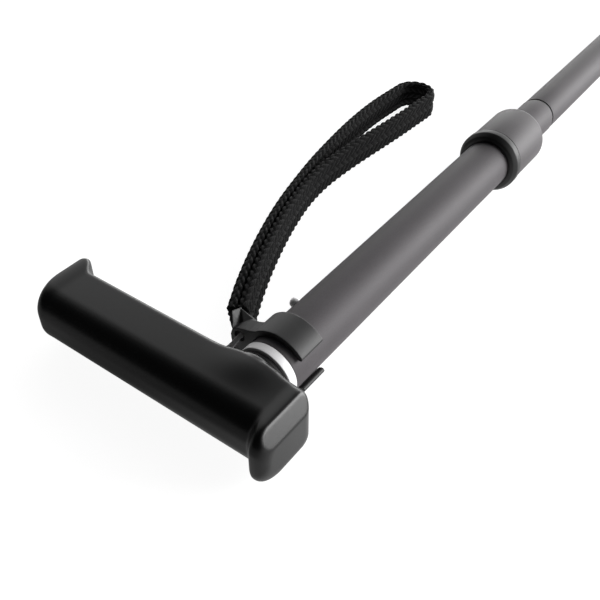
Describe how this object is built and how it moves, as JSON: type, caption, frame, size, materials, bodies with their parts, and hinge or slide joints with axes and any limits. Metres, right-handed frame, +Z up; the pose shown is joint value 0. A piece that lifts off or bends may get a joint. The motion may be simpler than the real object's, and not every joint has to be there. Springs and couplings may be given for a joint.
{
  "type": "support cane",
  "caption": "Height-adjustable support cane with a T handle, telescoping tubes, twist lock collar, clip that presses over the tube, and braided wrist strap, lying on its side.",
  "frame": {"origin": "middle of the whole object's underside, on the floor it lies on", "axes": "+X along the shaft from the handle to the rubber tip, +Y the side of the handle's long arm, +Z up"},
  "size_m": [0.8712, 0.1116, 0.0296],
  "materials": {
    "handle_black": "satin",
    "brass": "plain",
    "steel": "plain",
    "gasket_black": "matt",
    "bright_ring": "satin",
    "plain_aluminium": "plain",
    "grey_anodised": "matt anodised, fine grain",
    "chromed": "polished",
    "clip_grey": "satin",
    "lock_black": "matt",
    "collar_grey": "matt anodised",
    "pale_plastic": "plain",
    "seal_dark": "matt",
    "tip_rubber": "matt",
    "braid": "flat chevron braid"
  },
  "bodies": {
    "upper": {"upper_tube": "grey_anodised", "handle_grip": "handle_black", "handle_insert": "brass", "handle_stud": "steel", "neck_gasket": "gasket_black", "neck_ring": "bright_ring", "tube_plug": "plain_aluminium", "button_spring": "steel", "lock_ring": "lock_black", "lock_collet": "pale_plastic"},
    "collar": {"lock_collar": "collar_grey"},
    "lower": {"adjusting_tube": "grey_anodised", "guide_bush": "pale_plastic", "joint_seal": "seal_dark", "joint_spigot": "plain_aluminium", "lower_tube": "grey_anodised", "tube_end_plug": "gasket_black", "tip_washer": "steel", "rubber_tip": "tip_rubber"},
    "button": {"snap_button": "chromed"},
    "clip": {"strap_clip": "clip_grey"},
    "strap": {"split_ring": "chromed", "strap_end": "braid", "wrist_strap": "braid"}
  },
  "joints": [
    {"name": "height_slide", "type": "slide", "parent": "upper", "child": "lower", "axis": [1, 0, 0], "range_m": [-0.055, 0.035]},
    {"name": "lock_turn", "type": "hinge", "parent": "upper", "child": "collar", "pos_m": [-0.21535, -0.03145, 0.0148], "axis": [1, 0, 0], "range_deg": [0, 90]},
    {"name": "button_press", "type": "slide", "parent": "upper", "child": "button", "axis": [0, -0.866, -0.5], "range_m": [0, 0.0022], "stiffness_N_per_m": 900, "springref_m": -0.001, "deforming": ["button_spring"]},
    {"name": "clip_turn", "type": "hinge", "parent": "upper", "child": "clip", "pos_m": [-0.39135, -0.03145, 0.0148], "axis": [1, 0, 0], "range_deg": [-40, 60]},
    {"name": "strap_swing", "type": "hinge", "parent": "clip", "child": "strap", "pos_m": [-0.39415, -0.01505, 0.0184], "axis": [1, 0, 0], "range_deg": [-20, 80]}
  ]
}
